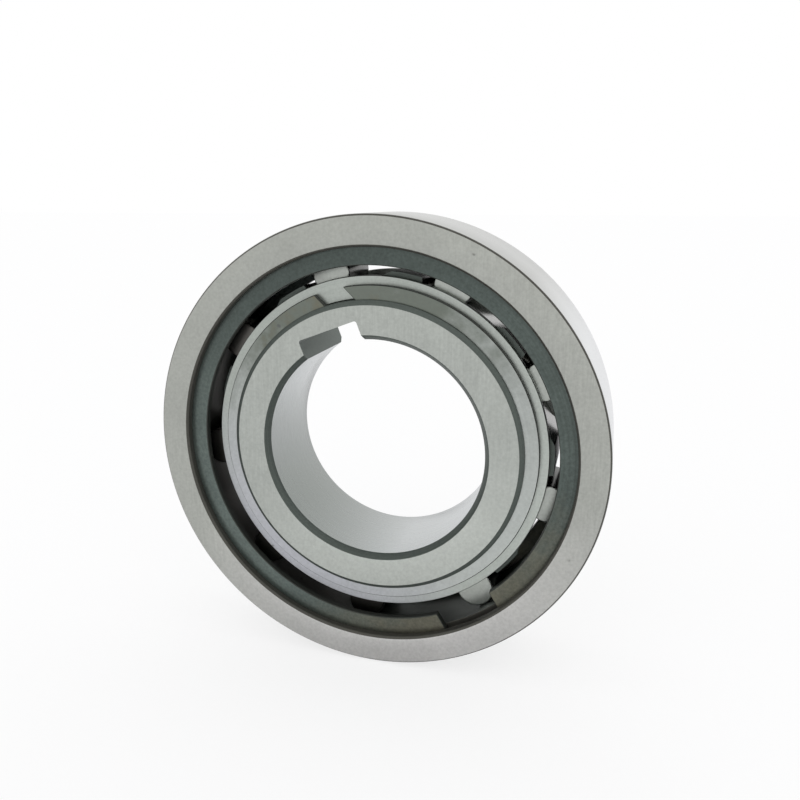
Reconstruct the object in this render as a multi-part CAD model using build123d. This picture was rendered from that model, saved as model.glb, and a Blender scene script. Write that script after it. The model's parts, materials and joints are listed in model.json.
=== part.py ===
"""Spring-loaded roller one-way clutch, made to the envelope of a 35 x 72 x 17 ball bearing.

The clutch stands on its rim: its axis lies along Y, the front face looks towards -Y and +Z is up.
The origin is on the axis, halfway between the faces of the inner ring. All sizes are in millimetres.

Every piece is drawn about the Z axis, seen from the front with X to the right and Y up, and is
turned into the standing position when it is written. Angles run anticlockwise from X.
"""
from build123d import *
from math import cos, radians, sin, tan
import os

# Rings, from the shaft outwards
bore_diameter = 35.0
hub_wall = 6.0                  # bore to the hub that carries the side washers
tooth_height = 4.2              # hub to the crests of the ramp star
tooth_gap = 3.3                 # crests to the roller track
outer_wall = 5.0                # track to the outside of the outer ring
ring_width = 17.0               # both rings
outer_ring_shift = 1.35         # how far the outer ring floats ahead of the inner ring

# Edges of the rings
bore_chamfer = 0.75
bore_chamfer_length = 1.0
hub_chamfer = 0.78
hub_chamfer_length = 0.6
rim_chamfer = 0.35
lip_relief = 0.3                # the mouths of the outer ring are this much wider than its track
lip_chamfer = 0.4

# Keyway of the low form
key_width = 10.0
key_depth = 2.4
key_corner = 0.4
key_angle = 110.8

# Rollers, and the ramps that they wedge on
roller_count = 9
roller_diameter = 6.0
roller_edge = 0.35
first_roller_angle = 25.3
wedge_angle = 6.2
contact_gap = 0.03              # roller to track, to ramp and to plunger
end_play = 0.05                 # roller ends to the washer and the snap ring

# Plungers, their drillings and their springs
plunger_slope = 28.0            # slope of the drilling, measured from the roller's tangent
plunger_stick_out = 1.6         # shoulder face to roller
plunger_diameter = 2.3
plunger_length = 3.4
plunger_wall = 0.3
plunger_nose = 0.9
plunger_edge = 0.2
drilling_clearance = 0.05       # all round the plunger
drilling_depth = 4.6
spring_clearance = 0.05         # all round the spring, inside the hollow plunger
spring_wire = 0.32
spring_coils = 5
shoulder_fillet = 0.4

# Side washers on the hub
washer_thickness = 1.1
washer_recess = 2.0             # inner ring's face to washer's face
washer_overhang = 3.5           # hub to the washer's rim
washer_clearance = 0.05         # hub to the washer's bore
washer_edge = 0.15

# Snap rings round the hub
hub_snap_thickness = 1.1
hub_snap_band = 2.6
hub_groove_depth = 1.0
hub_snap_play = 0.35            # groove bottom to ring, all round
hub_snap_shift = 0.3            # a loose ring lies this far off the axis
hub_snap_shift_angle = 54.0
hub_snap_gap = 4.9
hub_snap_slant = 31.0           # slant of the cut ends
hub_snap_gap_angle = 104.8
rear_hub_snap_gap_angle = 289.0

# Snap rings inside the outer ring
rim_snap_thickness = 1.2
rim_snap_recess = 1.45          # outer ring's face to snap ring's face
rim_snap_band = 3.25
rim_groove_depth = 0.95
rim_snap_play = 0.1             # groove bottom to ring, all round
rim_snap_gap = 9.7
rim_snap_gap_angle = -58.5
rear_rim_snap_gap_angle = 204.0
groove_play = 0.05              # groove width over ring thickness
snap_ring_edge = 0.12

# Radii from the shaft outwards
bore_radius = bore_diameter / 2
hub_radius = bore_radius + hub_wall
crest_radius = hub_radius + tooth_height
track_radius = crest_radius + tooth_gap
outer_radius = track_radius + outer_wall
hub_groove_radius = hub_radius - hub_groove_depth
hub_snap_radius = hub_groove_radius + hub_snap_play
rim_groove_radius = track_radius + rim_groove_depth
rim_snap_radius = rim_groove_radius - rim_snap_play
washer_radius = hub_radius + washer_overhang

# Heights above the middle of the inner ring, and above that of the outer ring
half_width = ring_width / 2
washer_face = half_width - washer_recess
star_face = washer_face - washer_thickness
rim_snap_face = half_width - rim_snap_recess
rim_snap_back = rim_snap_face - rim_snap_thickness

# The rollers lie between the front washer and the rear snap ring of the outer ring
roller_radius = roller_diameter / 2
roller_front = min(star_face, outer_ring_shift + rim_snap_back) - end_play
roller_rear = max(-star_face, outer_ring_shift - rim_snap_back) + end_play
roller_middle = (roller_front + roller_rear) / 2
roller_circle = track_radius - roller_radius - contact_gap
ramp_distance = roller_circle * cos(radians(wedge_angle)) - roller_radius - contact_gap

# Distances from a roller's axis, back along its plunger
shoulder_distance = roller_radius + plunger_stick_out
plunger_start = roller_radius + contact_gap
drilling_end = shoulder_distance + drilling_depth
drilling_radius = plunger_diameter / 2 + drilling_clearance
plunger_bore_radius = plunger_diameter / 2 - plunger_wall


def turned(profile):
    """A ring turned from its half section, given as (radius, height) points."""
    return revolve(Plane.XZ * make_face(Polyline(*profile, close=True)), Axis.Z)


def along(origin, direction, distance):
    """The point at a distance from an origin along a direction in the plane."""
    return (origin[0] + distance * direction[0], origin[1] + distance * direction[1])


def roller_place(number):
    """The frame of one pocket: X runs clockwise round the clutch and Y outwards through the roller."""
    return Rot(0, 0, first_roller_angle - 90 + number * 360 / roller_count)


def plunger_line():
    """Direction of the push of a plunger, in the frame of its pocket."""
    return (cos(radians(plunger_slope)), sin(radians(plunger_slope)))


def on_plunger(shape):
    """Place a shape that is drawn along Z so that Z runs from the roller down the drilling."""
    push = plunger_line()
    axis = Plane(origin=(0, roller_circle, roller_middle), x_dir=(0, 0, 1), z_dir=(-push[0], -push[1], 0))
    return axis * shape


def hub_section():
    """Half section of the inner ring before its star, keyway and drillings."""
    chamfer_radius = bore_radius + bore_chamfer
    face_radius = hub_radius - hub_chamfer
    groove_front = washer_face + hub_snap_thickness + groove_play
    front = [
        (bore_radius, half_width - bore_chamfer_length),
        (chamfer_radius, half_width),
        (face_radius, half_width),
        (hub_radius, half_width - hub_chamfer_length),
        (hub_radius, groove_front),
        (hub_groove_radius, groove_front),
        (hub_groove_radius, washer_face),
        (hub_radius, washer_face),
    ]
    rear = [(radius, -height) for radius, height in reversed(front)]
    return front + rear


def pocket_sketch():
    """One roller pocket of the star: a flat ramp, closed by the shoulder that holds the plunger."""
    slope = radians(wedge_angle)
    ramp_line = (cos(slope), sin(slope))
    ramp_foot = (-ramp_distance * sin(slope), ramp_distance * cos(slope))
    push = plunger_line()
    wall_line = (-push[1], push[0])
    wall_point = along((0, roller_circle), push, -shoulder_distance)
    # The corner lies where the ramp meets the shoulder
    cross = ramp_line[0] * wall_line[1] - ramp_line[1] * wall_line[0]
    offset = (wall_point[0] - ramp_foot[0], wall_point[1] - ramp_foot[1])
    to_corner = (offset[0] * wall_line[1] - offset[1] * wall_line[0]) / cross
    corner = along(ramp_foot, ramp_line, to_corner)
    ramp_end = along(corner, ramp_line, crest_radius)
    wall_end = along(corner, wall_line, tooth_height + roller_diameter)
    beyond = (ramp_end[0], wall_end[1])
    pocket = make_face(Polyline(corner, ramp_end, beyond, wall_end, close=True))
    return fillet(pocket.vertices().sort_by_distance((corner[0], corner[1], 0))[0], shoulder_fillet)


def star():
    """The toothed middle of the inner ring, with a flat ramp and a drilled shoulder for each roller."""
    body = Pos(0, 0, -star_face) * extrude(Circle(crest_radius), 2 * star_face)
    pocket = Pos(0, 0, -star_face) * extrude(pocket_sketch(), 2 * star_face)
    drilling_length = drilling_depth + plunger_stick_out
    drilling = on_plunger(Pos(0, 0, roller_radius) * Cylinder(
        drilling_radius, drilling_length, align=(Align.CENTER, Align.CENTER, Align.MIN)))
    cuts = [roller_place(number) * cut for number in range(roller_count) for cut in (pocket, drilling)]
    return body - cuts


def keyway():
    """The key slot, cut from the bore outwards right through the inner ring."""
    floor = bore_radius + key_depth
    slot = Pos(floor / 2, 0) * Rectangle(floor, key_width)
    slot = fillet(slot.vertices().group_by(Axis.X)[-1], key_corner)
    return Rot(0, 0, key_angle) * Pos(0, 0, -half_width) * extrude(slot, ring_width)


def inner_ring():
    return turned(hub_section()) + star() - keyway() - Cylinder(bore_radius, ring_width)


def outer_ring():
    """The plain outer ring: its roller track, a groove at each end of it and the wider mouths."""
    lip_radius = track_radius + lip_relief
    groove_back = rim_snap_back - groove_play
    front = [
        (track_radius, groove_back),
        (rim_groove_radius, groove_back),
        (rim_groove_radius, rim_snap_face),
        (lip_radius, rim_snap_face),
        (lip_radius, half_width - lip_chamfer),
        (lip_radius + lip_chamfer, half_width),
        (outer_radius - rim_chamfer, half_width),
        (outer_radius, half_width - rim_chamfer),
    ]
    rear = [(radius, -height) for radius, height in reversed(front)]
    return Pos(0, 0, outer_ring_shift) * turned(front + rear)


def side_washer(side):
    washer = Circle(washer_radius) - Circle(hub_radius + washer_clearance)
    solid = Pos(0, 0, star_face) * extrude(washer, washer_thickness)
    solid = chamfer(solid.edges().filter_by(GeomType.CIRCLE).group_by(SortBy.RADIUS)[-1], washer_edge)
    return solid if side > 0 else Rot(180, 0, 0) * solid


def split_ring(inner_radius, outer_radius, thickness, cut):
    """A flat snap ring from height 0, opened by a cut and eased along its round edges."""
    solid = extrude(Circle(outer_radius) - Circle(inner_radius), thickness)
    solid = chamfer(solid.edges().filter_by(GeomType.CIRCLE), snap_ring_edge)
    return solid - extrude(cut, thickness)


def slanted_gap(radius, width, slant):
    """A parallelogram across the ring at the top, leaning over by the slant."""
    reach = radius
    lean = reach * tan(radians(slant))
    half_gap = width / 2
    low, high = radius - reach / 2, radius + reach / 2
    corners = [
        (-half_gap + lean / 2, low),
        (half_gap + lean / 2, low),
        (half_gap - lean / 2, high),
        (-half_gap - lean / 2, high),
    ]
    return make_face(Polyline(*corners, close=True))


def hub_snap_ring(side, gap_angle):
    """A snap ring in its groove on the hub, against the side washer."""
    outer = hub_snap_radius + hub_snap_band
    gap = slanted_gap(hub_snap_radius + hub_snap_band / 2, hub_snap_gap, hub_snap_slant)
    ring = split_ring(hub_snap_radius, outer, hub_snap_thickness, Rot(0, 0, side * gap_angle - 90) * gap)
    shift = radians(side * hub_snap_shift_angle)
    ring = Pos(hub_snap_shift * cos(shift), hub_snap_shift * sin(shift), washer_face) * ring
    return ring if side > 0 else Rot(180, 0, 0) * ring


def rim_snap_ring(side, gap_angle):
    """A snap ring in its groove in the outer ring, against the wall of the lip."""
    inner = rim_snap_radius - rim_snap_band
    gap = Pos(0, track_radius) * Rectangle(rim_snap_gap, track_radius)
    ring = split_ring(inner, rim_snap_radius, rim_snap_thickness, Rot(0, 0, side * gap_angle - 90) * gap)
    ring = Pos(0, 0, rim_snap_back) * ring
    ring = ring if side > 0 else Rot(180, 0, 0) * ring
    return Pos(0, 0, outer_ring_shift) * ring


def clamping_roller():
    length = roller_front - roller_rear
    roller = Cylinder(roller_radius, length)
    roller = chamfer(roller.edges().filter_by(GeomType.CIRCLE), roller_edge)
    return Pos(0, roller_circle, roller_middle) * roller


def roller_plunger():
    """A hollow plunger: its closed nose pushes the roller and its spring sits inside."""
    outside = plunger_diameter / 2
    section = [
        (0, 0),
        (outside - plunger_edge, 0),
        (outside, plunger_edge),
        (outside, plunger_length),
        (plunger_bore_radius, plunger_length),
        (plunger_bore_radius, plunger_nose),
        (0, plunger_nose),
    ]
    return on_plunger(Pos(0, 0, plunger_start) * turned(section))


def roller_spring():
    """The coil spring from the plunger's nose to the end of the drilling."""
    start = plunger_start + plunger_nose + spring_wire / 2
    height = drilling_end - spring_wire / 2 - start
    mean_radius = plunger_bore_radius - spring_clearance - spring_wire / 2
    path = Helix(height / spring_coils, height, mean_radius)
    wire_section = Plane(origin=path @ 0, z_dir=path % 0) * RegularPolygon(spring_wire / 2, 6)
    return on_plunger(Pos(0, 0, start) * sweep(wire_section, path, is_frenet=True))


def write(node, solid):
    """Turn a piece into the standing position and write it."""
    export_step(Rot(90, 0, 0) * solid, f"parts/{node}.step")


def main():
    os.makedirs("parts", exist_ok=True)
    write("outer_ring", outer_ring())
    write("inner_ring", inner_ring())
    write("front_side_washer", side_washer(1))
    write("rear_side_washer", side_washer(-1))
    write("front_hub_snap_ring", hub_snap_ring(1, hub_snap_gap_angle))
    write("rear_hub_snap_ring", hub_snap_ring(-1, rear_hub_snap_gap_angle))
    write("front_rim_snap_ring", rim_snap_ring(1, rim_snap_gap_angle))
    write("rear_rim_snap_ring", rim_snap_ring(-1, rear_rim_snap_gap_angle))
    roller, plunger, spring = clamping_roller(), roller_plunger(), roller_spring()
    for number in range(roller_count):
        place = roller_place(number)
        write(f"clamping_roller_{number + 1}", place * roller)
        write(f"roller_plunger_{number + 1}", place * plunger)
        write(f"roller_spring_{number + 1}", place * spring)


main()
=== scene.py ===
"""Finish of a spring-loaded roller one-way clutch: its rings, rollers, snap rings and the studio round it."""
import json
from math import acos, cos, pi, radians, sin, tan

import bmesh
import bpy
from mathutils import Matrix, Vector


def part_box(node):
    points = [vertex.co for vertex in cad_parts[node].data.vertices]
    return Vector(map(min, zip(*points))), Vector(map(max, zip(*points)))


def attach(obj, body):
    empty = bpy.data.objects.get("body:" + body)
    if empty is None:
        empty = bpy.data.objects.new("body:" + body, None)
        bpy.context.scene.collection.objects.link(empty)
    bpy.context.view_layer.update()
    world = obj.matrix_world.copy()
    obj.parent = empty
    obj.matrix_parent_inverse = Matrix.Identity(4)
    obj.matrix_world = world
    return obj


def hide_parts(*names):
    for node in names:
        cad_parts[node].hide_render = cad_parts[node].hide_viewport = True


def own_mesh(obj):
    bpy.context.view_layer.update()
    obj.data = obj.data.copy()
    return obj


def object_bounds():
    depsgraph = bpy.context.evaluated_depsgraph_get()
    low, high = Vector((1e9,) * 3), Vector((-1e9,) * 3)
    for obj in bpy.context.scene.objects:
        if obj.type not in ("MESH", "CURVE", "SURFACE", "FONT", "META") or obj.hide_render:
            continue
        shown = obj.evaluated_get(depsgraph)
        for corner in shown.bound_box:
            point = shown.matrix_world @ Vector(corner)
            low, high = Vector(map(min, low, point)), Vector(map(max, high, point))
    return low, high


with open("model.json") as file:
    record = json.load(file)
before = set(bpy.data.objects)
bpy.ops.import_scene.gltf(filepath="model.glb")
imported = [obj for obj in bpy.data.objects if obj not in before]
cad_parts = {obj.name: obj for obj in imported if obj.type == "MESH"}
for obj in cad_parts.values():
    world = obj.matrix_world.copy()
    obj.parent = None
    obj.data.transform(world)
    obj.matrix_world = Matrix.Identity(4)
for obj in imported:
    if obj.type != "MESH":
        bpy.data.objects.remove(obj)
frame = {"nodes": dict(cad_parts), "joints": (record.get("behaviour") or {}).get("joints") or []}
cad_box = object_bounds()

bl_info = {
    "name": "One-way clutch finish",
    "version": (1, 0, 0),
    "blender": (4, 5, 0),
    "location": "3D Viewport > Sidebar > Clutch",
    "description": "Models and finishes the pieces of a roller one-way clutch",
    "category": "Object",
}

MM = 0.001
ROLLERS = sum(1 for node in frame["nodes"] if node.startswith("clamping_roller_"))
SHAFT_SIDE = "shaft_side"
HOUSING_SIDE = "housing_side"

# Points nearer than this are one point, and points this near a plane lie in it
MERGE = 1e-7
IN_PLANE = 1e-6
# How far along the axis a normal points, at least on a flat face and at most on a wall round the axis
FACING = 0.9
ROUND_WALL = 0.1
# Facets round a roller, a plunger or drilling, and a spring's wire, and the steps of a spring's turn
ROLLER_STEPS = 64
PIN_STEPS = 32
WIRE_SIDES = 8
COIL_STEPS = 24


# Sizes that the frame holds

def middle_of(node):
    """Middle of a node's box."""
    low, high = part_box(node)
    return (low + high) / 2


def outer_radius(node):
    """Outer radius of a node that is round about the clutch's axis."""
    low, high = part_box(node)
    return max(high.x - low.x, high.z - low.z) / 2


def depths(node):
    """Front and back of a node, along the clutch's axis."""
    low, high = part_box(node)
    return low.y, high.y


def joint_called(name):
    """A joint of the clutch, from the frame."""
    return next(joint for joint in frame["joints"] if joint["name"] == name)


def joint_axis(name):
    """Unit direction of a joint of the clutch."""
    return Vector(joint_called(name)["axis"]).normalized()


def slide_travel(name):
    """How far a sliding joint moves from rest."""
    return max(joint_called(name)["range_m"])


def direction(angle):
    """The outward direction at an angle, anticlockwise from the right as seen from the front."""
    return Vector((cos(angle), 0, sin(angle)))


# Settings

def size(name, millimetres, description):
    """A length that a user may change, given in millimetres."""
    return bpy.props.FloatProperty(
        name=name, description=description, default=millimetres * MM, min=0, unit="LENGTH", precision=5)


def angle(name, degrees, description):
    """An angle that a user may change, given in degrees."""
    return bpy.props.FloatProperty(
        name=name, description=description, default=radians(degrees), subtype="ANGLE", unit="ROTATION")


def colour(name, value, description):
    """A colour that a user may change."""
    return bpy.props.FloatVectorProperty(
        name=name, description=description, default=value, size=3, min=0, max=1, subtype="COLOR")


class ClutchRingSizes(bpy.types.PropertyGroup):
    steps: bpy.props.IntProperty(
        name="Steps round", description="Facets round each ring", default=240, min=48, max=720)
    edge: size("Broken edge", 0.07, "Small chamfer where two turned faces meet")
    rim_chamfer: size("Rim chamfer", 0.35, "Chamfer on the outside edges of the outer ring")
    lip_relief: size("Lip relief", 0.3, "How much wider the mouths are than the roller track")
    lip_chamfer: size("Lip chamfer", 0.4, "Chamfer on the inside edges of the outer ring")
    track_radius: size("Track radius", 31.0, "Radius that the rollers run on")
    rim_groove_depth: size("Rim groove depth", 0.95, "Depth of a snap ring's groove in the outer ring")
    bore_radius: size("Bore radius", 17.5, "Radius of the shaft's seat")
    bore_chamfer: size("Bore chamfer", 0.75, "Chamfer of the bore, across its face")
    bore_chamfer_length: size("Bore chamfer length", 1.0, "Chamfer of the bore, along its axis")
    hub_radius: size("Hub radius", 23.5, "Radius of the hub that carries the washers")
    hub_chamfer: size("Hub chamfer", 0.78, "Chamfer of the hub, across its face")
    hub_chamfer_length: size("Hub chamfer length", 0.6, "Chamfer of the hub, along its axis")
    hub_groove_depth: size("Hub groove depth", 1.0, "Depth of a snap ring's groove in the hub")
    groove_play: size("Groove play", 0.05, "How much wider a groove is than its snap ring")
    crest_radius: size("Crest radius", 27.7, "Radius of the crests between the roller pockets")
    key_width: size("Keyway width", 10.0, "Width of the keyway")
    key_depth: size("Keyway depth", 2.4, "Depth of the keyway, from the bore")
    key_corner: size("Keyway corner", 0.4, "Fillet in the corners of the keyway")
    key_angle: angle("Keyway angle", 110.8, "Where the keyway is, anticlockwise from the right")


class ClutchPocketSizes(bpy.types.PropertyGroup):
    contact_gap: size("Contact gap", 0.03, "Roller to ramp and roller to plunger")
    stick_out: size("Stick-out", 1.6, "Shoulder face to roller")
    drilling_radius: size("Drilling radius", 1.2, "Radius of the drilling in the shoulder")
    drilling_depth: size("Drilling depth", 4.6, "Depth of the drilling in the shoulder")
    shoulder_fillet: size("Shoulder fillet", 0.4, "Fillet between ramp and shoulder")
    roller_edge: size("Roller edge", 0.35, "Rounding of the roller's ends")
    plunger_radius: size("Plunger radius", 1.15, "Outside radius of the plunger")
    plunger_length: size("Plunger length", 3.4, "Length of the plunger")
    plunger_wall: size("Plunger wall", 0.3, "Wall of the hollow plunger")
    plunger_nose: size("Plunger nose", 0.9, "Thickness of the plunger's closed end")
    plunger_edge: size("Plunger edge", 0.2, "Chamfer of the plunger's nose")
    spring_wire: size("Spring wire", 0.32, "Diameter of the spring's wire")
    spring_play: size("Spring play", 0.05, "Gap all round the spring inside its plunger")
    spring_rest: size("Spring rest", 0.01, "Gap at each end of the spring")
    spring_coils: bpy.props.IntProperty(
        name="Spring coils", description="Turns of each spring", default=5, min=2, max=12)


class ClutchSnapRingSizes(bpy.types.PropertyGroup):
    edge: size("Eased edge", 0.12, "Easing of a snap ring's round edges")
    washer_edge: size("Washer edge", 0.15, "Chamfer of a washer's rim")
    washer_clearance: size("Washer clearance", 0.05, "Hub to the washer's bore")
    hub_band: size("Hub ring band", 2.6, "Radial width of a snap ring on the hub")
    hub_gap: size("Hub ring gap", 4.9, "Width of the gap of a snap ring on the hub")
    hub_slant: angle("Hub ring slant", 31, "Slant of the cut ends of a snap ring on the hub")
    hub_gap_angle: angle("Hub ring gap angle", 104.8, "Where the front hub snap ring is open")
    rear_hub_gap_angle: angle("Rear hub ring gap angle", 289, "Where the rear hub snap ring is open")
    rim_band: size("Rim ring band", 3.25, "Radial width of a snap ring in the outer ring")
    rim_gap: size("Rim ring gap", 9.7, "Width of the gap of a snap ring in the outer ring")
    rim_gap_angle: angle("Rim ring gap angle", -58.5, "Where the front rim snap ring is open")
    rear_rim_gap_angle: angle("Rear rim ring gap angle", 204, "Where the rear rim snap ring is open")


class ClutchColours(bpy.types.PropertyGroup):
    outer_face: colour("Outer ring face", (0.450, 0.462, 0.428), "Ground faces of the outer ring")
    # Painted light: a lighter, warmer tone laid on the lower part of the outer ring's faces
    painted_light_lower_face: colour(
        "Outer ring face under painted light", (0.625, 0.618, 0.605), "Lower part of the outer ring's ground faces")
    inner_face: colour("Inner ring face", (0.460, 0.483, 0.452), "Ground faces of the inner ring")
    rim: colour("Rim", (0.54, 0.545, 0.53), "Ground outside of the outer ring")
    # Painted highlight: a lighter colour on the right of the rim, where it reflects the bright surroundings
    rim_painted_highlight: colour("Painted rim highlight", (0.77, 0.78, 0.785), "Rim where a highlight is painted")
    bore: colour("Bore", (0.55, 0.57, 0.57), "Ground bore of the inner ring")
    # Painted shade: the bore darkened on its lower left
    bore_painted_shade: colour("Painted bore shade", (0.31, 0.33, 0.315), "Bore where shade is painted")
    lip: colour(
        "Lip scale", (0.088, 0.086, 0.074), "Turned lips and grooves of the outer ring, brown from hardening")
    scale: colour(
        "Hardened scale", (0.104, 0.122, 0.110), "Turned chamfers of the inner ring, dark from hardening")
    # Painted shade: the track, oiled, is given a colour far darker than steel for the shade deep between the
    # rings
    track: colour("Track", (0.058, 0.055, 0.050), "Oiled track that the rollers run on, darkened further with painted shade")
    # Painted light: the track lighter near the gap of the front rim snap ring, where less shade is painted
    track_painted_light: colour("Painted light on track", (0.115, 0.128, 0.118), "Track lightened as painted light near the front rim snap ring's gap")
    ramp: colour("Ramp", (0.235, 0.235, 0.225), "Polished ramps of the star")
    washer: colour("Washer steel", (0.45, 0.482, 0.447), "Side washers")
    hub_snap: colour("Hub snap ring steel", (0.45, 0.475, 0.455), "Snap rings round the hub")
    tarnish: colour("Tarnish", (0.175, 0.195, 0.168), "Darkened steel on the hub snap ring")
    rim_snap: colour("Rim snap ring steel", (0.107, 0.131, 0.120), "Phosphated snap rings in the outer ring")
    olive: colour("Olive phosphate", (0.180, 0.174, 0.132), "Phosphate where it has turned olive")
    # Painted light: a cool, lighter tone on the lower left of the washers and hub snap rings
    painted_cool_light: colour(
        "Painted cool light", (0.53, 0.54, 0.575), "Cool tone on one side of the washers and hub snap rings")
    # Painted shade: a near-black colour on the snap rings' edges, for the shadow in their gaps and grooves
    edge: colour("Painted edge shade", (0.05, 0.055, 0.048), "Edges of the snap rings, darkened as painted shade")
    roller: colour("Roller steel", (0.47, 0.495, 0.46), "Ends of the clamping rollers")
    # Painted shadow: the ends of the rollers on the left side darkened
    roller_end_painted_shade: colour(
        "Painted shade on roller ends", (0.125, 0.117, 0.108), "Ends of the rollers on the left, darkened as painted shade")
    # Painted shade: the rollers' sides given a colour far darker than steel
    roller_side: colour("Roller side", (0.085, 0.085, 0.080), "Sides of the clamping rollers, darkened as painted shade")
    # Painted shade: plungers and springs given a colour far darker than steel, for the shade deep in the
    # pockets
    plunger: colour("Plunger steel", (0.14, 0.14, 0.125), "Plungers and springs, darkened as painted shade")
    stain: colour("Oil stain", (0.17, 0.12, 0.045), "Dried oil")


# Meshes

def both_ways(front, middle):
    """A ring's section from its front half, given as (radius, distance ahead of the middle) points."""
    ahead = [(radius, middle - distance) for radius, distance in front]
    behind = [(radius, middle + distance) for radius, distance in reversed(front)]
    return ahead + behind


def bevel(mesh, geometry, offset, affect="EDGES", segments=1):
    """A chamfer, or with more segments a fillet, on edges or corners."""
    bmesh.ops.bevel(mesh, geom=geometry, offset=offset, offset_type="OFFSET", segments=segments,
                    profile=0.5, affect=affect, material=-1)


def turned_ring(section, steps, edge, centre=Vector((0, 0, 0))):
    """A ring turned about the clutch's axis from (radius, depth) points, its corners broken by a chamfer."""
    mesh = bmesh.new()
    corners = [mesh.verts.new((centre.x + radius, depth, centre.z)) for radius, depth in section]
    mesh.faces.new(corners)
    bevel(mesh, corners, edge, "VERTICES")
    bmesh.ops.delete(mesh, geom=mesh.faces[:], context="FACES_ONLY")
    bmesh.ops.spin(mesh, geom=mesh.verts[:] + mesh.edges[:], cent=centre, axis=Vector((0, 1, 0)),
                   angle=2 * pi, steps=steps, use_merge=True, use_duplicate=False)
    bmesh.ops.recalc_face_normals(mesh, faces=mesh.faces)
    return mesh


def open_ring(mesh, middle, gap_angle, width, slant, end_edge):
    """Opens a ring with two parallel cuts, closes its ends and breaks their edges."""
    outward = direction(gap_angle)
    around = Vector((-outward.z, 0, outward.x))
    normal = around * cos(slant) - outward * sin(slant)
    reach = width * 2
    half_gap = width / 2 * cos(slant)

    def near():
        """Faces close to the gap, so that the cuts leave the ring's far side alone."""
        return [face for face in mesh.faces if (face.calc_center_median() - middle).length < reach]

    for side in (-1, 1):
        faces = near()
        geometry = set(faces)
        for face in faces:
            geometry.update(face.edges)
            geometry.update(face.verts)
        bmesh.ops.bisect_plane(mesh, geom=list(geometry), dist=MERGE,
                               plane_co=middle + around * side * width / 2, plane_no=normal)
    inside = [face for face in near() if abs((face.calc_center_median() - middle).dot(normal)) < half_gap]
    bmesh.ops.delete(mesh, geom=inside, context="FACES")
    rims = [edge for edge in mesh.edges if edge.is_boundary]
    ends = bmesh.ops.holes_fill(mesh, edges=rims, sides=0)["faces"]
    rims = {edge for face in ends for edge in face.edges}
    bevel(mesh, list(rims), end_edge)
    bmesh.ops.recalc_face_normals(mesh, faces=mesh.faces)


def object_of(mesh, name):
    """A new object with a mesh, which is used up."""
    data = bpy.data.meshes.new(name)
    mesh.to_mesh(data)
    mesh.free()
    made = bpy.data.objects.new(name, data)
    bpy.context.scene.collection.objects.link(made)
    return made


def subtract(mesh, cutter):
    """What is left of a mesh once a cutter has been taken away from it."""
    pair = []
    for part in (mesh, cutter):
        bmesh.ops.recalc_face_normals(part, faces=part.faces)
        pair.append(object_of(part, "cut"))
    body, tool = pair
    cut = body.modifiers.new("cut", "BOOLEAN")
    cut.operation = "DIFFERENCE"
    cut.solver = "EXACT"
    cut.object = tool
    result = bpy.data.meshes.new_from_object(body.evaluated_get(bpy.context.evaluated_depsgraph_get()))
    left = bmesh.new()
    left.from_mesh(result)
    bpy.data.meshes.remove(result)
    for part in pair:
        data = part.data
        bpy.data.objects.remove(part)
        bpy.data.meshes.remove(data)
    return left


def add_cylinder(mesh, start, along, radius, length, steps):
    """Adds a closed cylinder that runs from a point along a direction."""
    turn = along.to_track_quat("Z", "Y").to_matrix().to_4x4()
    place = Matrix.Translation(start + along * length / 2) @ turn
    bmesh.ops.create_cone(mesh, cap_ends=True, segments=steps, radius1=radius, radius2=radius,
                          depth=length, matrix=place)


def piece_of(mesh, name, node, body, steels, finish_of=None, smooth_under=25):
    """Makes a piece of a mesh: shades it, gives it its steels and lets it take a node's place on its body."""
    for face in mesh.faces:
        face.smooth = True
        face.material_index = finish_of(face) if finish_of else 0
    limit = radians(smooth_under)
    for edge in mesh.edges:
        edge.smooth = len(edge.link_faces) == 2 and edge.calc_face_angle(0) < limit
    piece = object_of(mesh, name)
    for steel in steels:
        piece.data.materials.append(steel)
    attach(piece, body)
    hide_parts(node)
    return piece


# Finishes

# Fineness of the noises, per metre
GRAIN_SCALE = 2300.0
RAGGED_SCALE = 320.0
SPECK_CELLS = 260.0
SPECK_BORDER_SCALE = 2600.0
# Where most of a noise lies
NOISE_SPAN = (0.3, 0.7)
# What the base colour is multiplied by in grain, clouds and specks, and how strongly specks show
GRAIN_SHADE = 0.2
CLOUD_SHADE = 0.3
SPECK_SHADE = 0.25
SPECK_STRENGTH = 0.8


def new_group(name, inputs, outputs):
    """A shader node group with named inputs, given with their defaults, and named outputs."""
    group = bpy.data.node_groups.new(name, "ShaderNodeTree")
    for socket, default in inputs.items():
        kind = "NodeSocketVector" if default is None else "NodeSocketFloat"
        made = group.interface.new_socket(socket, in_out="INPUT", socket_type=kind)
        if default is not None:
            made.default_value = default
    for socket in outputs:
        group.interface.new_socket(socket, in_out="OUTPUT", socket_type="NodeSocketFloat")
    return group, group.nodes.new("NodeGroupInput"), group.nodes.new("NodeGroupOutput")


def feed(tree, sockets, values):
    """Links each socket to another socket, or gives it a plain value."""
    for socket, value in zip(sockets, values):
        if isinstance(value, bpy.types.NodeSocket):
            tree.links.new(value, socket)
        else:
            socket.default_value = value


def calculate(tree, operation, *values):
    """A Math node on sockets or plain numbers; returns its result."""
    node = tree.nodes.new("ShaderNodeMath")
    node.operation = operation
    feed(tree, node.inputs, values)
    return node.outputs[0]


def remap(tree, value, low, high, to_low=0.0, to_high=1.0):
    """A clamped Map Range node; returns its result."""
    node = tree.nodes.new("ShaderNodeMapRange")
    node.inputs["From Min"].default_value = low
    node.inputs["From Max"].default_value = high
    node.inputs["To Min"].default_value = to_low
    node.inputs["To Max"].default_value = to_high
    tree.links.new(value, node.inputs["Value"])
    return node.outputs[0]


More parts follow.
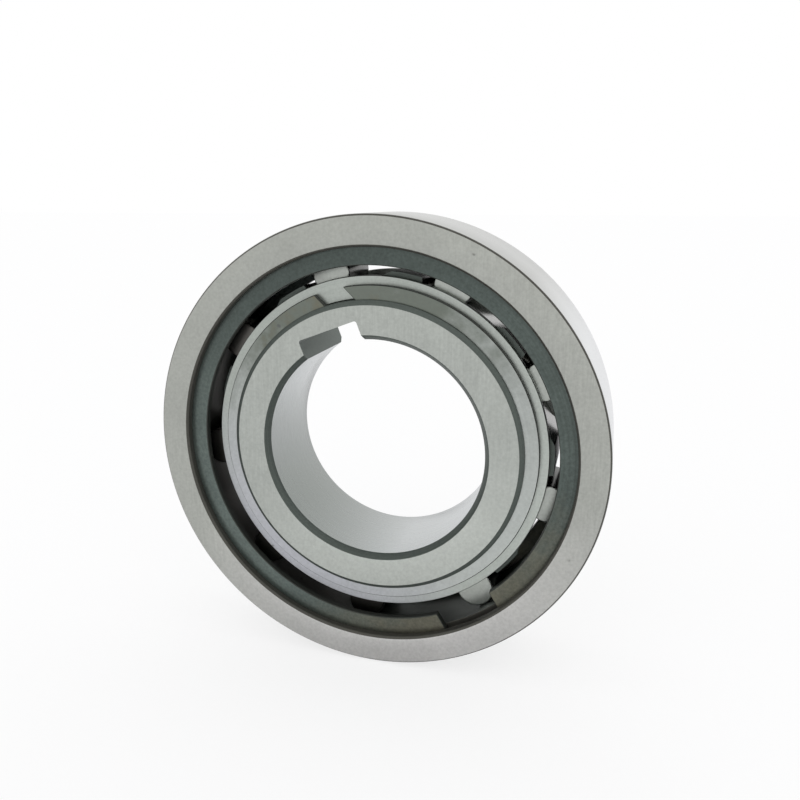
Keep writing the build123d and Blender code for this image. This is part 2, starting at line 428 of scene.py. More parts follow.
def noise(tree, vector, scale, detail, roughness=0.5):
    """A Noise Texture on a vector; returns its value."""
    node = tree.nodes.new("ShaderNodeTexNoise")
    node.inputs["Scale"].default_value = scale
    node.inputs["Detail"].default_value = detail
    node.inputs["Roughness"].default_value = roughness
    tree.links.new(vector, node.inputs["Vector"])
    return node.outputs[0]


def cylinder_coordinates(tree, vector):
    """Radius and angle about the clutch's axis, and depth along it."""
    split = tree.nodes.new("ShaderNodeSeparateXYZ")
    tree.links.new(vector, split.inputs[0])
    squares = [calculate(tree, "MULTIPLY", split.outputs[axis], split.outputs[axis]) for axis in ("X", "Z")]
    radius = calculate(tree, "SQRT", calculate(tree, "ADD", *squares))
    turn = calculate(tree, "ARCTAN2", split.outputs["Z"], split.outputs["X"])
    return radius, turn, split.outputs["Y"]


def combine(tree, *values):
    """A vector of three sockets or plain numbers."""
    node = tree.nodes.new("ShaderNodeCombineXYZ")
    feed(tree, node.inputs, values)
    return node.outputs[0]


def lathe_marks():
    """Fine rings left by turning or grinding about the clutch's axis."""
    name = "Lathe marks"
    if name in bpy.data.node_groups:
        return bpy.data.node_groups[name]
    group, given, result = new_group(name, {"Vector": None, "Marks per mm": 6.0}, ["Height"])
    radius, turn, depth = cylinder_coordinates(group, given.outputs["Vector"])
    density = calculate(group, "MULTIPLY", given.outputs["Marks per mm"], 1 / MM)
    across = calculate(group, "MULTIPLY", radius, density)
    down = calculate(group, "MULTIPLY", depth, density)
    round_it = calculate(group, "MULTIPLY", calculate(group, "SINE", turn), 1.5)
    fine = noise(group, combine(group, across, down, round_it), 1.0, 3.0)
    group.links.new(fine, result.inputs["Height"])
    return group


def grinder_marks():
    """Fine straight marks left by a surface grinder, up and down the clutch's faces."""
    name = "Grinder marks"
    if name in bpy.data.node_groups:
        return bpy.data.node_groups[name]
    group, given, result = new_group(name, {"Vector": None, "Marks per mm": 3.0, "Stretch": 14.0}, ["Height"])
    split = group.nodes.new("ShaderNodeSeparateXYZ")
    group.links.new(given.outputs["Vector"], split.inputs[0])
    density = calculate(group, "MULTIPLY", given.outputs["Marks per mm"], 1 / MM)
    across = calculate(group, "MULTIPLY", split.outputs["X"], density)
    stretched = calculate(group, "DIVIDE", density, given.outputs["Stretch"])
    down = calculate(group, "MULTIPLY", split.outputs["Z"], stretched)
    fine = noise(group, combine(group, across, split.outputs["Y"], down), 1.0, 4.0, 0.6)
    group.links.new(fine, result.inputs["Height"])
    return group


def tarnish():
    """Soft cloudy patches, and small dark specks scattered over a surface."""
    name = "Tarnish and specks"
    if name in bpy.data.node_groups:
        return bpy.data.node_groups[name]
    inputs = {"Vector": None, "Cloud size mm": 8.0, "Specks": 0.5}
    group, given, result = new_group(name, inputs, ["Cloud", "Speck"])
    scaled = group.nodes.new("ShaderNodeVectorMath")
    scaled.operation = "SCALE"
    group.links.new(given.outputs["Vector"], scaled.inputs[0])
    per_cloud = calculate(group, "DIVIDE", 1 / MM, given.outputs["Cloud size mm"])
    group.links.new(per_cloud, scaled.inputs["Scale"])
    cloud = noise(group, scaled.outputs[0], 1.0, 3.0)
    group.links.new(remap(group, cloud, *NOISE_SPAN), result.inputs["Cloud"])
    cells = group.nodes.new("ShaderNodeTexVoronoi")
    cells.inputs["Scale"].default_value = SPECK_CELLS
    group.links.new(given.outputs["Vector"], cells.inputs["Vector"])
    ragged = noise(group, given.outputs["Vector"], SPECK_BORDER_SCALE, 2.0)
    spread = calculate(group, "ADD", cells.outputs["Distance"], calculate(group, "MULTIPLY", ragged, 0.12))
    spot = remap(group, spread, 0.10, 0.16, 1.0, 0.0)
    split = group.nodes.new("ShaderNodeSeparateColor")
    group.links.new(cells.outputs["Color"], split.inputs[0])
    chosen = calculate(group, "LESS_THAN", split.outputs[0], given.outputs["Specks"])
    group.links.new(calculate(group, "MULTIPLY", spot, chosen), result.inputs["Speck"])
    return group


def side_mask():
    """How near a surface is to one side of the clutch, with a ragged border."""
    name = "Side mask"
    if name in bpy.data.node_groups:
        return bpy.data.node_groups[name]
    inputs = {"Vector": None, "Side": 0.0, "Start": 0.0, "Full": 1.0, "Ragged": 0.0}
    group, given, result = new_group(name, inputs, ["Mask"])
    turn = cylinder_coordinates(group, given.outputs["Vector"])[1]
    nearness = calculate(group, "COSINE", calculate(group, "SUBTRACT", turn, given.outputs["Side"]))
    cloud = calculate(group, "SUBTRACT", noise(group, given.outputs["Vector"], RAGGED_SCALE, 5.0, 0.6), 0.5)
    torn = calculate(group, "ADD", nearness, calculate(group, "MULTIPLY", cloud, given.outputs["Ragged"]))
    risen = calculate(group, "SUBTRACT", torn, given.outputs["Start"])
    span = calculate(group, "SUBTRACT", given.outputs["Full"], given.outputs["Start"])
    share = calculate(group, "DIVIDE", risen, span)
    clamped = calculate(group, "MINIMUM", calculate(group, "MAXIMUM", share, 0.0), 1.0)
    group.links.new(clamped, result.inputs["Mask"])
    return group


def place_group(tree, group, vector, **values):
    """Places a node group on a vector with its own values; returns its outputs."""
    node = tree.nodes.new("ShaderNodeGroup")
    node.node_tree = group
    tree.links.new(vector, node.inputs["Vector"])
    for socket, value in values.items():
        node.inputs[socket.replace("_", " ")].default_value = value
    return node.outputs


def mixed(tree, factor, first, second):
    """A colour between two colours, each a socket or a plain colour."""
    node = tree.nodes.new("ShaderNodeMix")
    node.data_type = "RGBA"
    tree.links.new(factor, node.inputs[0])
    colours = [part if isinstance(part, bpy.types.NodeSocket) else (*part, 1) for part in (first, second)]
    feed(tree, node.inputs[6:8], colours)
    return node.outputs[2]


def shade(value, share):
    """A colour made darker or lighter."""
    return tuple(min(1.0, part * share) for part in value)


def new_finish(name, metallic):
    """A material with its shader and the object's own coordinates."""
    finish = bpy.data.materials.new(name)
    finish.use_nodes = True
    tree = finish.node_tree
    shader = tree.nodes["Principled BSDF"]
    shader.inputs["Metallic"].default_value = metallic
    place = tree.nodes.new("ShaderNodeTexCoord").outputs["Object"]
    return finish, tree, shader, place


def add_bump(tree, shader, height, distance):
    """Feeds a height in metres to the shader's normal."""
    bump = tree.nodes.new("ShaderNodeBump")
    bump.inputs["Distance"].default_value = distance
    bump.inputs["Strength"].default_value = 1.0
    tree.links.new(height, bump.inputs["Height"])
    tree.links.new(bump.outputs[0], shader.inputs["Normal"])


def steel_finish(name, base, marks_per_mm, roughness, contrast, marks=lathe_marks, specks=0.1,
                 metallic=1.0, cloud=0.05, grain=0.05, depth=0.003, tints=()):
    """Bare steel with machining marks, grain, faint clouds and a few specks.

    The marks' depth is in millimetres. A tint is a colour and the values of the side mask that lays it on;
    many tints are painted light or painted shade on one side of the clutch.
    """
    finish, tree, shader, place = new_finish(name, metallic)
    height = place_group(tree, marks(), place, Marks_per_mm=marks_per_mm)["Height"]
    patches = place_group(tree, tarnish(), place, Specks=specks)
    ridges = remap(tree, height, *NOISE_SPAN)
    colour = mixed(tree, ridges, shade(base, 1 - contrast), shade(base, 1 + contrast))
    for hue, side in tints:
        mask = place_group(tree, side_mask(), place, **side)["Mask"]
        colour = mixed(tree, mask, colour, hue)
    fine = remap(tree, noise(tree, place, GRAIN_SCALE, 3.0, 0.6), *NOISE_SPAN)
    for mask, strength, darkening in (
        (fine, grain * 2, GRAIN_SHADE),
        (patches["Cloud"], cloud * 2, CLOUD_SHADE),
        (patches["Speck"], SPECK_STRENGTH, SPECK_SHADE),
    ):
        colour = mixed(tree, calculate(tree, "MULTIPLY", mask, strength), colour, shade(base, darkening))
    tree.links.new(colour, shader.inputs["Base Color"])
    rough = remap(tree, height, 0.25, 0.75, roughness - 0.04, roughness + 0.06)
    tree.links.new(rough, shader.inputs["Roughness"])
    add_bump(tree, shader, height, depth * MM)
    return finish


def tint(value, degrees, start, full, ragged=0.0):
    """A colour that is full near an angle, and absent where the cosine of the turn from it is low."""
    return value, {"Side": radians(degrees), "Start": start, "Full": full, "Ragged": ragged}


def steel_recipes(colours):
    """What each steel of the clutch is made of, by its name."""
    face = dict(marks=grinder_marks, marks_per_mm=3.0, roughness=0.38, contrast=0.08, specks=0.05, grain=0.09)
    ground = dict(marks_per_mm=5.0, contrast=0.02, specks=0.0, grain=0.02, cloud=0.02)
    scaled = dict(marks_per_mm=4.0, roughness=0.42, contrast=0.12)
    shaded_pin_steel = dict(base=colours.plunger, marks=grinder_marks, marks_per_mm=5.0, roughness=0.34, contrast=0.06,
                 specks=0.0)
    return {
        "Outer ring face": dict(face, base=colours.outer_face, tints=[
            # Painted light on the lower part; the upper left is made a little darker
            tint(colours.painted_light_lower_face, -80, 0.3, 1.0, 0.1),
            tint(shade(colours.outer_face, 0.96), 130, 0.3, 1.0, 0.5)]),
        "Inner ring face": dict(face, base=colours.inner_face, tints=[
            # Painted light: the inner ring's faces lightened towards the bottom
            tint(shade(colours.inner_face, 1.30), -75, 0.1, 0.9, 0.1)]),
        "Rim": dict(ground, base=colours.rim, roughness=0.30, tints=[
            # Painted highlight on the right of the rim
            tint(colours.rim_painted_highlight, 15, 0.82, 0.97)]),
        "Bore": dict(ground, base=colours.bore, roughness=0.28, tints=[
            # Painted shade on the lower left of the bore
            tint(colours.bore_painted_shade, 215, 0.4, 1.0)]),
        "Lip scale": dict(scaled, base=colours.lip, metallic=0.6, grain=0.12, cloud=0.1),
        "Hardened scale": dict(scaled, base=colours.scale, metallic=0.7, grain=0.1),
        "Keyway": dict(
            scaled, base=shade(colours.scale, 1.25), marks=grinder_marks, contrast=0.10, metallic=0.7),
        # Track colour darkened as painted shade of the cavity between the rings
        "Track": dict(
            base=colours.track, marks_per_mm=5.0, roughness=0.32, contrast=0.08,
            # Painted light on the track by the rim snap ring's gap
            metallic=0.8, grain=0.06, tints=[tint(colours.track_painted_light, -66, 0.72, 0.95)]),
        "Ramp": dict(
            base=colours.ramp, marks_per_mm=8.0, roughness=0.14, contrast=0.03, specks=0.0,
            grain=0.02),
        "Washer steel": dict(
            base=colours.washer, marks_per_mm=6.0, roughness=0.36, contrast=0.06,
            specks=0.16, grain=0.09, tints=[
                # Painted light: the washers lightened towards the lower right
                tint(shade(colours.washer, 1.16), -40, 0.1, 0.9, 0.2),
                # Painted cool light on the lower left
                tint(colours.painted_cool_light, 235, 0.35, 1.0, 0.2)]),
        "Hub snap ring steel": dict(
            base=colours.hub_snap, marks_per_mm=4.0, roughness=0.38, contrast=0.06,
            specks=0.18, grain=0.08, tints=[
                # Painted light: the hub snap rings lightened towards the bottom
                tint(shade(colours.hub_snap, 1.22), -75, 0.0, 0.8),
                # Painted cool light on the lower left
                tint(colours.painted_cool_light, 235, 0.35, 1.0, 0.2),
                tint(colours.tarnish, 97, 0.30, 0.85, 0.8),
                tint(colours.stain, 112, 0.95, 1.7, 1.2)]),
        "Rim snap ring steel": dict(
            base=colours.rim_snap, marks_per_mm=3.0, roughness=0.36, contrast=0.16,
            cloud=0.10, metallic=0.8, grain=0.18, tints=[
                # Painted light: the rim snap rings lightened on the lower left; towards the top they are made
                # a little darker
                tint(shade(colours.rim_snap, 1.5), 215, 0.25, 0.95, 0.2),
                tint(shade(colours.rim_snap, 0.85), 105, 0.5, 1.0, 0.3),
                tint(colours.olive, -62, 0.62, 1.0, 0.4)]),
        # Painted shade on every edge face of the snap rings
        "Snap ring shaded edge": dict(
            base=colours.edge, marks_per_mm=3.0, roughness=0.45, contrast=0.10, metallic=0.6),
        "Roller end": dict(
            base=colours.roller, marks=grinder_marks, marks_per_mm=5.0, roughness=0.34, contrast=0.03,
            # Painted shadow on the ends of the rollers on the left
            specks=0.15, grain=0.09, tints=[tint(colours.roller_end_painted_shade, 200, -0.08, 0.3)]),
        "Roller side": dict(
            base=colours.roller_side, marks=grinder_marks, marks_per_mm=5.0, roughness=0.24, contrast=0.03,
            specks=0.05),
        "Plunger steel": shaded_pin_steel,
        "Spring wire": shaded_pin_steel,
    }


def finishes(*names):
    """The named finishes of the clutch, each made once."""
    recipes = steel_recipes(bpy.context.scene.clutch_colours)
    return [bpy.data.materials.get(name) or steel_finish(name, **recipes[name]) for name in names]


# Operators

class ClutchOperator:
    """Shared settings of the operators."""
    bl_options = {"REGISTER", "UNDO"}


class CLUTCH_OT_outer_ring(ClutchOperator, bpy.types.Operator):
    """Turn the outer ring with its track, grooves and mouths"""
    bl_idname = "clutch.outer_ring"
    bl_label = "Outer ring"

    def execute(self, context):
        sizes = context.scene.clutch_rings
        outer = outer_radius("outer_ring")
        front, back = depths("outer_ring")
        snap_front, snap_back = depths("front_rim_snap_ring")
        half = (back - front) / 2
        middle = (front + back) / 2
        lip = sizes.track_radius + sizes.lip_relief
        groove = sizes.track_radius + sizes.rim_groove_depth
        section = both_ways([
            (sizes.track_radius, middle - snap_back - sizes.groove_play),
            (groove, middle - snap_back - sizes.groove_play),
            (groove, middle - snap_front),
            (lip, middle - snap_front),
            (lip, half - sizes.lip_chamfer),
            (lip + sizes.lip_chamfer, half),
            (outer - sizes.rim_chamfer, half),
            (outer, half - sizes.rim_chamfer),
        ], middle)
        mesh = turned_ring(section, sizes.steps, sizes.edge)
        rim_from = outer * 0.998
        rim_share = 0.5
        track_to = sizes.track_radius * 1.001

        def finish_of(face):
            point = face.calc_center_median()
            radius = (point.x ** 2 + point.z ** 2) ** 0.5
            along = abs(face.normal.y)
            if along > FACING:
                return 0 if abs(point.y - middle) > half - sizes.edge else 1
            if along < rim_share and radius > rim_from:
                return 2
            if along < ROUND_WALL and radius < track_to:
                return 3
            return 1

        piece_of(mesh, "turned_outer_ring", "outer_ring", HOUSING_SIDE,
                 finishes("Outer ring face", "Lip scale", "Rim", "Track"), finish_of)
        return {"FINISHED"}


class CLUTCH_OT_inner_ring(ClutchOperator, bpy.types.Operator):
    """Turn the inner ring, then cut its roller pockets, drillings and keyway"""
    bl_idname = "clutch.inner_ring"
    bl_label = "Inner ring"

    def execute(self, context):
        sizes = context.scene.clutch_rings
        crest = outer_radius("inner_ring")
        front, back = depths("inner_ring")
        washer_back = depths("front_side_washer")[1]
        snap_front, snap_back = depths("front_hub_snap_ring")
        half = (back - front) / 2
        middle = (front + back) / 2
        groove = sizes.hub_radius - sizes.hub_groove_depth
        section = both_ways([
            (sizes.bore_radius, half - sizes.bore_chamfer_length),
            (sizes.bore_radius + sizes.bore_chamfer, half),
            (sizes.hub_radius - sizes.hub_chamfer, half),
            (sizes.hub_radius, half - sizes.hub_chamfer_length),
            (sizes.hub_radius, middle - snap_front + sizes.groove_play),
            (groove, middle - snap_front + sizes.groove_play),
            (groove, middle - snap_back),
            (sizes.hub_radius, middle - snap_back),
            (sizes.hub_radius, middle - washer_back),
            (sizes.crest_radius, middle - washer_back),
        ], middle)
        mesh = turned_ring(section, sizes.steps, sizes.edge / 2)
        mesh = subtract(mesh, pocket_cutter(middle - washer_back))
        mesh = subtract(mesh, drilling_cutter())
        mesh = subtract(mesh, keyway_cutter(half))
        bore_to = sizes.bore_radius * 1.0005
        star_from = sizes.hub_radius * 1.01
        keyway_to = (sizes.bore_radius + sizes.key_depth) * 1.01
        ramp_to = crest * 0.995
        ramp_lean = 0.8

        def finish_of(face):
            point = face.calc_center_median()
            radius = (point.x ** 2 + point.z ** 2) ** 0.5
            along = abs(face.normal.y)
            if along > FACING:
                return 0 if abs(point.y - middle) > half - sizes.edge else 1
            if along >= ROUND_WALL:
                return 1
            if radius < bore_to:
                return 2
            if radius > star_from:
                outward = Vector((point.x, 0, point.z)).normalized()
                return 3 if radius < ramp_to and face.normal.dot(outward) > ramp_lean else 4
            return 5 if radius < keyway_to else 1

        # The star's crests and shoulder walls take the track's steel, with its painted shade
        names = ["Inner ring face", "Hardened scale", "Bore", "Ramp", "Track", "Keyway"]
        piece_of(mesh, "keyed_inner_ring", "inner_ring", SHAFT_SIDE,
                 finishes(*names), finish_of)
        return {"FINISHED"}


def rollers():
    """Number, middle and radius of each roller, and the way its plunger slides back."""
    for number in range(1, ROLLERS + 1):
        low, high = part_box(f"clamping_roller_{number}")
        yield number, (low + high) / 2, (high.x - low.x) / 2, joint_axis(f"plunger_{number}_slide")


def pocket_cutter(half_depth):
    """What a milling cutter takes out of the star: a flat ramp and a shoulder for each roller."""
    pockets = bpy.context.scene.clutch_pockets
    cutter = bmesh.new()
    for number, middle, roller, back in rollers():
        middle.y = 0
        outward = middle.normalized()
        clockwise = -joint_axis(f"roller_{number}_slide")
        ramp_normal = clockwise.cross(Vector((0, 1, 0)))
        ramp_normal *= 1 if ramp_normal.dot(outward) > 0 else -1
        one = bmesh.new()
        bmesh.ops.create_cube(one, size=1)
        reach = roller * 10
        bmesh.ops.scale(one, vec=(reach, half_depth * 2 + roller / 2, reach), verts=one.verts)
        bmesh.ops.translate(one, vec=middle, verts=one.verts)
        cuts = [
            (middle - ramp_normal * (roller + pockets.contact_gap), -ramp_normal),
            (middle + back * (roller + pockets.stick_out), back),
        ]
        for point, beyond in cuts:
            bmesh.ops.bisect_plane(one, geom=one.verts[:] + one.edges[:] + one.faces[:], plane_co=point,
                                   plane_no=beyond, clear_outer=True, dist=MERGE)
            rim = [edge for edge in one.edges if edge.is_boundary]
            bmesh.ops.holes_fill(one, edges=rim, sides=0)
        corner = [edge for edge in one.edges if all(
            abs((vertex.co - point).dot(beyond)) < IN_PLANE
            for point, beyond in cuts for vertex in edge.verts)]
        bend = acos(max(-1, min(1, cuts[0][1].dot(cuts[1][1]))))
        setback = pockets.shoulder_fillet * tan(bend / 2)
        bevel(one, corner, setback, segments=5)
        data = bpy.data.meshes.new("pocket")
        one.to_mesh(data)
        one.free()
        cutter.from_mesh(data)
        bpy.data.meshes.remove(data)
    return cutter


def drilling_cutter():
    """What a drill takes out of each shoulder, on the line of its plunger."""
    pockets = bpy.context.scene.clutch_pockets
    cutter = bmesh.new()
    for _, middle, roller, back in rollers():
        length = pockets.stick_out + pockets.drilling_depth
        add_cylinder(cutter, middle + back * roller, back, pockets.drilling_radius, length, PIN_STEPS)
    return cutter


def keyway_cutter(half):
    """What a broach takes out of the bore."""
    sizes = bpy.context.scene.clutch_rings
    cutter = bmesh.new()
    bmesh.ops.create_cube(cutter, size=1)
    floor = sizes.bore_radius + sizes.key_depth
    past_both_faces = half * 2.2
    bmesh.ops.scale(cutter, vec=(sizes.key_width, past_both_faces, floor), verts=cutter.verts)
    bmesh.ops.translate(cutter, vec=(0, 0, floor / 2), verts=cutter.verts)
    corners = [edge for edge in cutter.edges if all(vertex.co.z > floor * 0.99 for vertex in edge.verts)
               and abs(edge.verts[0].co.y - edge.verts[1].co.y) > half]
    bevel(cutter, corners, sizes.key_corner, segments=6)
    turn = Matrix.Rotation(pi / 2 - sizes.key_angle, 3, "Y")
    bmesh.ops.rotate(cutter, cent=(0, 0, 0), matrix=turn, verts=cutter.verts)
    return cutter


def flat_section(node, inner):
    """Plain section of a ring that fills a node's place, from an inner radius outwards."""
    outer = outer_radius(node)
    front, back = depths(node)
    return [(inner, front), (outer, front), (outer, back), (inner, back)]


class CLUTCH_OT_side_washers(ClutchOperator, bpy.types.Operator):
    """Turn the two washers beside the star"""
    bl_idname = "clutch.side_washers"
    bl_label = "Side washers"

    def execute(self, context):
        sizes = context.scene.clutch_rings
        rings = context.scene.clutch_snap_rings
        inner = sizes.hub_radius + rings.washer_clearance
        steels = finishes("Washer steel")
        for side in ("front", "rear"):
            node = f"{side}_side_washer"
            mesh = turned_ring(flat_section(node, inner), sizes.steps, rings.washer_edge * 0.7)
            piece_of(mesh, f"turned_{node}", node, SHAFT_SIDE, steels)
        return {"FINISHED"}


def snap_ring(node, band, gap, gap_angle, slant=0.0, centre=Vector((0, 0, 0))):
    """A flat ring in a node's place, open at an angle between two parallel cuts."""
    edge = bpy.context.scene.clutch_snap_rings.edge
    outer = outer_radius(node)
    inner = outer - band
    mesh = turned_ring(flat_section(node, inner), bpy.context.scene.clutch_rings.steps, edge, centre)
    middle = middle_of(node) + direction(gap_angle) * (inner + outer) / 2
    open_ring(mesh, middle, gap_angle, gap, slant, edge * 0.7)
    return mesh


# On the snap rings the second finish is the painted-shade edge steel
def edge_finish(face):
    """Second finish on every face that doesn't look along the clutch's axis."""
    return 0 if abs(face.normal.y) > FACING else 1


class CLUTCH_OT_hub_snap_rings(ClutchOperator, bpy.types.Operator):
    """Make the snap rings on the hub, open between slanting ends"""
    bl_idname = "clutch.hub_snap_rings"
    bl_label = "Hub snap rings"

    def execute(self, context):
        rings = context.scene.clutch_snap_rings
        steels = finishes("Hub snap ring steel", "Snap ring shaded edge")
        for side, gap_angle, slant in (
            ("front", rings.hub_gap_angle, rings.hub_slant),
            ("rear", rings.rear_hub_gap_angle, -rings.hub_slant),
        ):
            node = f"{side}_hub_snap_ring"
            centre = middle_of(node) * Vector((1, 0, 1))
            mesh = snap_ring(node, rings.hub_band, rings.hub_gap, gap_angle, slant, centre)
            piece_of(mesh, f"open_{node}", node, SHAFT_SIDE, steels, edge_finish)
        return {"FINISHED"}


class CLUTCH_OT_rim_snap_rings(ClutchOperator, bpy.types.Operator):
    """Make the snap rings inside the outer ring, open between square ends"""
    bl_idname = "clutch.rim_snap_rings"
    bl_label = "Rim snap rings"

    def execute(self, context):
        rings = context.scene.clutch_snap_rings
        steels = finishes("Rim snap ring steel", "Snap ring shaded edge")
        for side, gap_angle in (("front", rings.rim_gap_angle), ("rear", rings.rear_rim_gap_angle)):
            node = f"{side}_rim_snap_ring"
            mesh = snap_ring(node, rings.rim_band, rings.rim_gap, gap_angle)
            piece_of(mesh, f"open_{node}", node, HOUSING_SIDE, steels, edge_finish)
        return {"FINISHED"}


def stand_along(mesh, start, along):
    """Turns a mesh that was made along Z to a direction, and moves it to its start."""
    bmesh.ops.rotate(mesh, cent=(0, 0, 0), matrix=along.to_track_quat("Z", "Y").to_matrix(), verts=mesh.verts)
    bmesh.ops.translate(mesh, vec=start, verts=mesh.verts)


def turned_pin(section, start, along, steps):
    """A pin turned from (radius, distance) points that run from its start along a direction."""
    mesh = bmesh.new()
    points = [mesh.verts.new((radius, 0, distance)) for radius, distance in section]
    for pair in zip(points, points[1:]):
        mesh.edges.new(pair)
    bmesh.ops.spin(mesh, geom=mesh.verts[:] + mesh.edges[:], cent=Vector((0, 0, 0)), axis=Vector((0, 0, 1)),
                   angle=2 * pi, steps=steps, use_merge=True, use_duplicate=False)
    bmesh.ops.remove_doubles(mesh, verts=mesh.verts, dist=MERGE)
    bmesh.ops.recalc_face_normals(mesh, faces=mesh.faces)
    stand_along(mesh, start, along)
    return mesh


def roller_finish(face):
    """First finish on a roller's ends and most of their rounding, second on its side."""
    return 0 if abs(face.normal.y) > 0.4 else 1


class CLUTCH_OT_rollers(ClutchOperator, bpy.types.Operator):
    """Turn the clamping rollers with their rounded ends"""
    bl_idname = "clutch.rollers"
    bl_label = "Clamping rollers"

    def execute(self, context):
        edge = context.scene.clutch_pockets.roller_edge
        steels = finishes("Roller end", "Roller side")
        for number, middle, radius, _ in rollers():
            node = f"clamping_roller_{number}"
            front, rear = depths(node)
            length = rear - front
            rounding = [(radius - edge + edge * sin(turn), edge - edge * cos(turn))
                        for turn in (radians(15 * step) for step in range(7))]
            far = [(r, length - distance) for r, distance in reversed(rounding)]
            section = [(0, 0)] + rounding + far + [(0, length)]
            start = Vector((middle.x, front, middle.z))
            mesh = turned_pin(section, start, Vector((0, 1, 0)), ROLLER_STEPS)
            piece_of(mesh, f"turned_{node}", node, node, steels, roller_finish)
        return {"FINISHED"}


class CLUTCH_OT_plungers(ClutchOperator, bpy.types.Operator):
    """Turn the hollow plungers that push the rollers"""
    bl_idname = "clutch.plungers"
    bl_label = "Plungers"

    def execute(self, context):
        pockets = context.scene.clutch_pockets
        steels = finishes("Plunger steel")
        outside = pockets.plunger_radius
        section = [
            (0, 0),
            (outside - pockets.plunger_edge, 0),
            (outside, pockets.plunger_edge),
            (outside, pockets.plunger_length),
            (outside - pockets.plunger_wall, pockets.plunger_length),
            (outside - pockets.plunger_wall, pockets.plunger_nose),
            (0, pockets.plunger_nose),
        ]
        for number, middle, roller, back in rollers():
            node = f"roller_plunger_{number}"
            mesh = turned_pin(section, middle + back * (roller + pockets.contact_gap), back, PIN_STEPS)
            piece_of(mesh, f"turned_{node}", node, node, steels)
        return {"FINISHED"}


class CLUTCH_OT_springs(ClutchOperator, bpy.types.Operator):
    """Coil the springs inside the plungers"""
    bl_idname = "clutch.springs"
    bl_label = "Springs"

    def execute(self, context):
        pockets = context.scene.clutch_pockets
        steels = finishes("Spring wire")
        wire = pockets.spring_wire / 2
        mean_radius = pockets.plunger_radius - pockets.plunger_wall - pockets.spring_play - wire
        end_gap = wire + pockets.spring_rest
        for number, middle, roller, back in rollers():
            node = f"roller_spring_{number}"
            joint = f"plunger_{number}_slide"
            start = roller + pockets.contact_gap + pockets.plunger_nose
            end = roller + pockets.stick_out + pockets.drilling_depth
            length = end - start
            mesh = coil(mean_radius, wire, length - 2 * end_gap, pockets.spring_coils)
            stand_along(mesh, middle + back * (start + end_gap), back)
            piece = piece_of(mesh, f"coiled_{node}", node, SHAFT_SIDE, steels, smooth_under=60)
            keep = 1 - slide_travel(joint) / length
            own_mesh(piece)
            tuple(back)
        return {"FINISHED"}


def coil(mean_radius, wire, height, turns):
    """An open coil of round wire that climbs along Z from the origin."""
    mesh = bmesh.new()
    section = bmesh.ops.create_circle(mesh, segments=WIRE_SIDES, radius=wire)["verts"]
    bmesh.ops.rotate(mesh, cent=(0, 0, 0), matrix=Matrix.Rotation(pi / 2, 3, "X"), verts=section)
    bmesh.ops.translate(mesh, vec=(mean_radius, 0, 0), verts=section)
    steps = turns * COIL_STEPS
    bmesh.ops.spin(mesh, geom=mesh.verts[:] + mesh.edges[:], cent=(0, 0, 0), axis=(0, 0, 1),
                   dvec=(0, 0, height / steps), angle=2 * pi * turns, steps=steps,
                   use_merge=False, use_duplicate=False)
    ends = [edge for edge in mesh.edges if edge.is_boundary]
    bmesh.ops.holes_fill(mesh, edges=ends, sides=0)
    bmesh.ops.recalc_face_normals(mesh, faces=mesh.faces)
    return mesh


class ClutchStage(bpy.types.PropertyGroup):
    camera: bpy.props.FloatVectorProperty(
        name="Camera", description="Where the camera stands", size=3, subtype="TRANSLATION", unit="LENGTH",
        default=(34.33 * MM, -114.34 * MM, 37.75 * MM))
    looking: bpy.props.FloatVectorProperty(
        name="Looking along", description="The way the camera looks", size=3, subtype="DIRECTION",
        default=(-0.2622, 0.9305, -0.2559))
    lens: bpy.props.FloatProperty(
        name="Lens", description="Focal length of the camera", default=33.95, unit="CAMERA")
    floor_whiteness: bpy.props.FloatProperty(
        name="Floor whiteness", description="How far the camera sees the floor as pure white", default=0.72,
        min=0, max=1)
    light: bpy.props.FloatProperty(
        name="Light", description="Strength of the even light all round", default=1.0, min=0)


class CLUTCH_OT_stage(ClutchOperator, bpy.types.Operator):
    """Lay the floor and set the light and the camera"""
    bl_idname = "clutch.stage"
    bl_label = "Stage"

    def execute(self, context):
        stage = context.scene.clutch_stage
        lay_floor(cad_box[0].z, stage.floor_whiteness)
        light_all_round(stage.light)
        lens = bpy.data.cameras.new("camera")
        lens.lens = stage.lens
        camera = bpy.data.objects.new("camera", lens)
        camera.location = stage.camera
        camera.rotation_mode = "QUATERNION"
        camera.rotation_quaternion = Vector(stage.looking).to_track_quat("-Z", "Y")
        lens.clip_start = MM
        lens.clip_end = 10
        context.scene.collection.objects.link(camera)
        context.scene.camera = camera
        context.scene.view_settings.view_transform = "Standard"
        return {"FINISHED"}


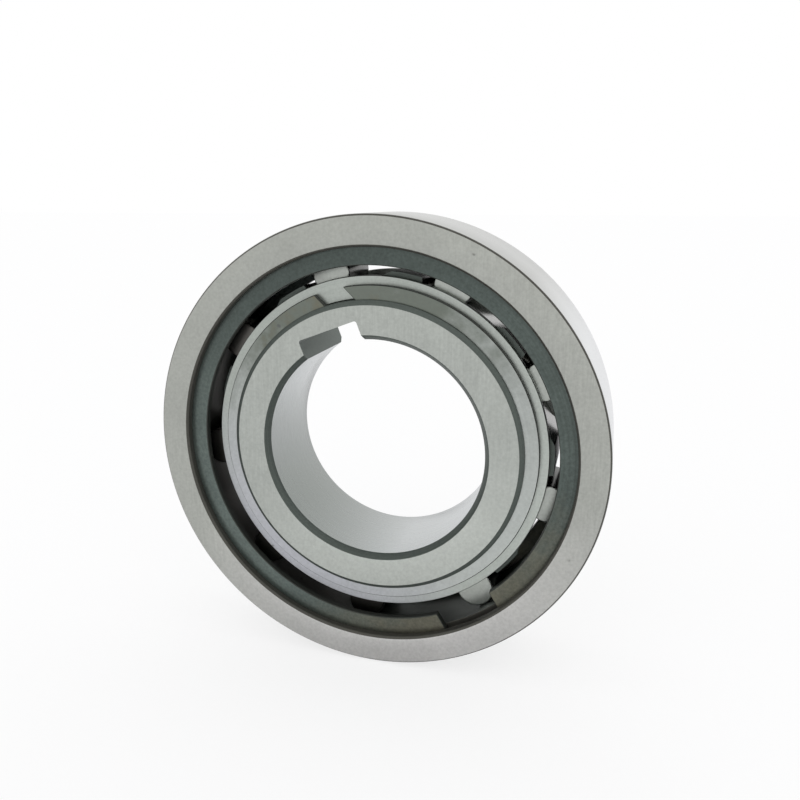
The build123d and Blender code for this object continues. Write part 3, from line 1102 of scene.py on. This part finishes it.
def lay_floor(height, whiteness):
    """A large white floor that shows a faint shadow of the clutch, and lights the clutch as it is."""
    mesh = bmesh.new()
    bmesh.ops.create_grid(mesh, x_segments=1, y_segments=1, size=4)
    bmesh.ops.translate(mesh, vec=(0, 0, height), verts=mesh.verts)
    floor = object_of(mesh, "floor")
    finish = bpy.data.materials.new("White floor")
    finish.use_nodes = True
    tree = finish.node_tree
    shader = tree.nodes["Principled BSDF"]
    shader.inputs["Base Color"].default_value = (0.97, 0.97, 0.98, 1)
    shader.inputs["Roughness"].default_value = 0.9
    shader.inputs["Specular IOR Level"].default_value = 0.0
    glow = tree.nodes.new("ShaderNodeEmission")
    glow.inputs["Color"].default_value = (1, 1, 1, 1)
    glow.inputs["Strength"].default_value = 1.0
    seen = tree.nodes.new("ShaderNodeLightPath").outputs["Is Camera Ray"]
    blend = tree.nodes.new("ShaderNodeMixShader")
    tree.links.new(calculate(tree, "MULTIPLY", seen, whiteness), blend.inputs[0])
    tree.links.new(shader.outputs[0], blend.inputs[1])
    tree.links.new(glow.outputs[0], blend.inputs[2])
    tree.links.new(blend.outputs[0], tree.nodes["Material Output"].inputs["Surface"])
    floor.data.materials.append(finish)


def light_all_round(strength):
    """An even white light from all round, as in a light tent."""
    world = bpy.data.worlds.new("Light tent")
    bpy.context.scene.world = world
    world.use_nodes = True
    tree = world.node_tree
    sky = tree.nodes["Background"]
    sky.inputs["Color"].default_value = (1, 1, 1, 1)
    sky.inputs["Strength"].default_value = strength


class CLUTCH_PT_panel(bpy.types.Panel):
    """Lists the sizes, the colours and the pieces of the clutch"""
    bl_idname = "CLUTCH_PT_panel"
    bl_label = "One-way clutch"
    bl_space_type = "VIEW_3D"
    bl_region_type = "UI"
    bl_category = "Clutch"

    def draw(self, context):
        for group in GROUPS:
            settings = getattr(context.scene, group)
            box = self.layout.box()
            for name in settings.__annotations__:
                box.prop(settings, name)
        for operator in OPERATORS:
            self.layout.operator(operator.bl_idname)


GROUPS = {
    "clutch_rings": ClutchRingSizes,
    "clutch_pockets": ClutchPocketSizes,
    "clutch_snap_rings": ClutchSnapRingSizes,
    "clutch_colours": ClutchColours,
    "clutch_stage": ClutchStage,
}
OPERATORS = (
    CLUTCH_OT_outer_ring,
    CLUTCH_OT_inner_ring,
    CLUTCH_OT_side_washers,
    CLUTCH_OT_hub_snap_rings,
    CLUTCH_OT_rim_snap_rings,
    CLUTCH_OT_rollers,
    CLUTCH_OT_plungers,
    CLUTCH_OT_springs,
    CLUTCH_OT_stage,
)


def register():
    for kind in (*GROUPS.values(), *OPERATORS, CLUTCH_PT_panel):
        bpy.utils.register_class(kind)
    for name, kind in GROUPS.items():
        setattr(bpy.types.Scene, name, bpy.props.PointerProperty(type=kind))


def unregister():
    for name in GROUPS:
        delattr(bpy.types.Scene, name)
    for kind in reversed((*GROUPS.values(), *OPERATORS, CLUTCH_PT_panel)):
        bpy.utils.unregister_class(kind)


def main():
    register()
    for operator in OPERATORS:
        group, name = operator.bl_idname.split(".")
        getattr(getattr(bpy.ops, group), name)()


if __name__ == "__main__":
    main()
